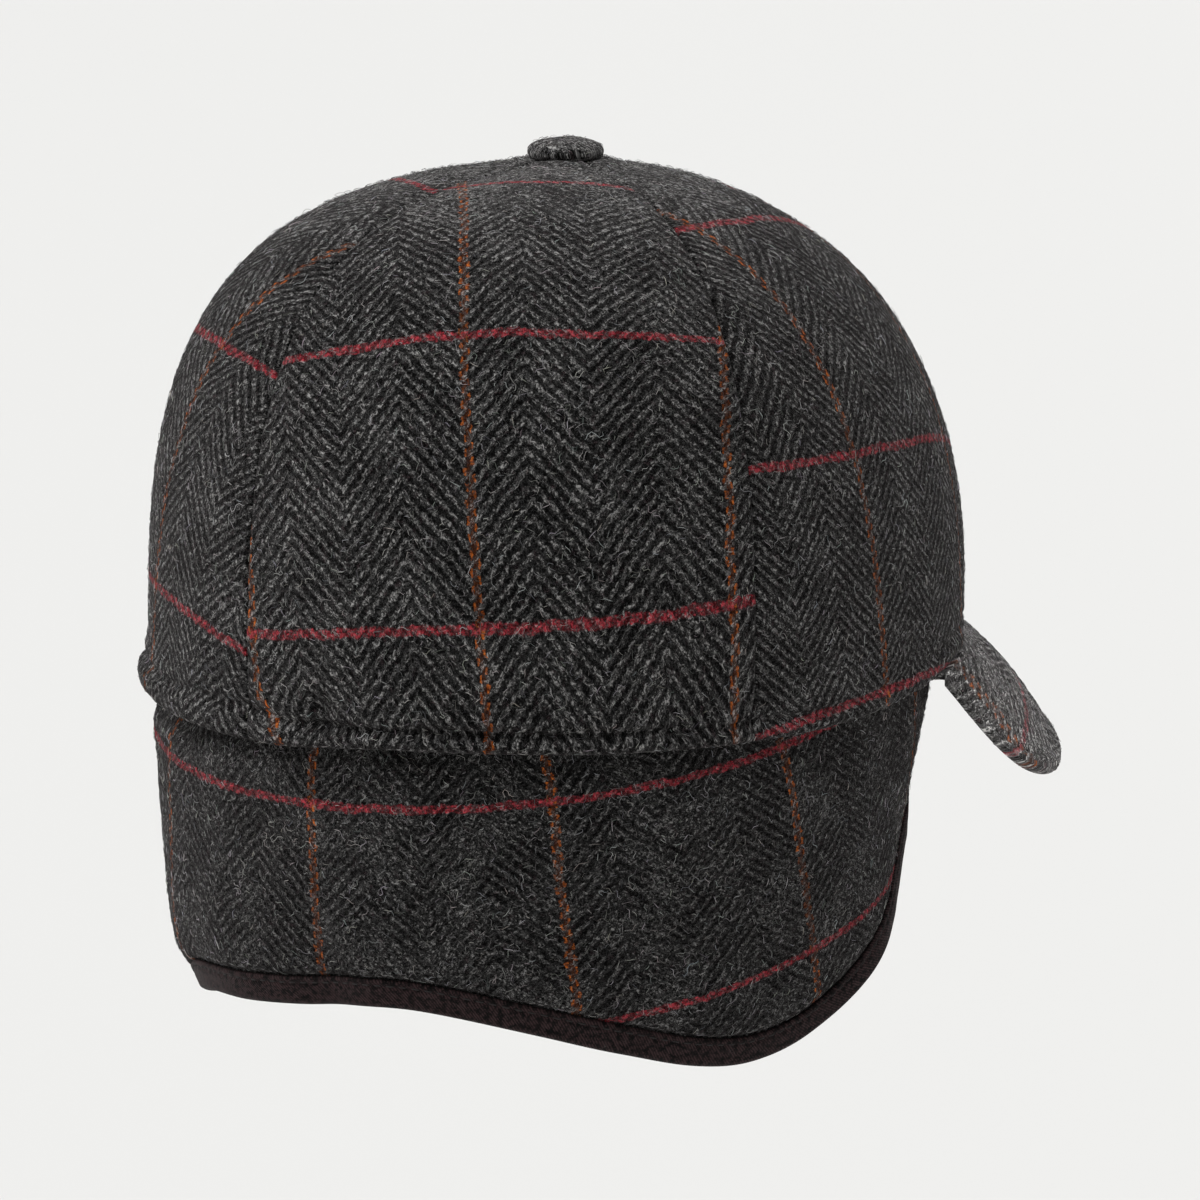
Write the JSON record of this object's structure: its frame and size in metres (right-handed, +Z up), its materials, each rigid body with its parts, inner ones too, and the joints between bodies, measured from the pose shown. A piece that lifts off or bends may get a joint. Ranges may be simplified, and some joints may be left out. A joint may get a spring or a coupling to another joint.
{
  "type": "tweed cap with ear flap",
  "caption": "Round tweed cap with a curved front peak, a covered top button and a fold-down band that covers the ears and neck.",
  "frame": {"origin": "centre of the opening where the head goes in, on the plane of the crown's rim", "axes": "+Z is up through the top button, the peak points along -Y, and the wearer's left is +X"},
  "size_m": [0.1813, 0.2622, 0.203],
  "materials": {
    "crown_tweed": "charcoal herringbone wool tweed with a thin orange and red windowpane check, softly brushed",
    "peak_tweed": "the same brushed herringbone tweed stretched over a stiff peak",
    "flap_tweed": "the same brushed herringbone tweed as a lined band",
    "binding_tape": "black-brown ribbed bias tape with a topstitched edge"
  },
  "bodies": {
    "root": {"crown_panel_back_right": "crown_tweed", "crown_panel_back_left": "crown_tweed", "crown_panel_side_right": "crown_tweed", "crown_panel_side_left": "crown_tweed", "crown_panel_front": "crown_tweed", "top_button": "crown_tweed", "peak": "peak_tweed", "ear_flap": "flap_tweed", "flap_binding": "binding_tape"}
  },
  "joints": []
}
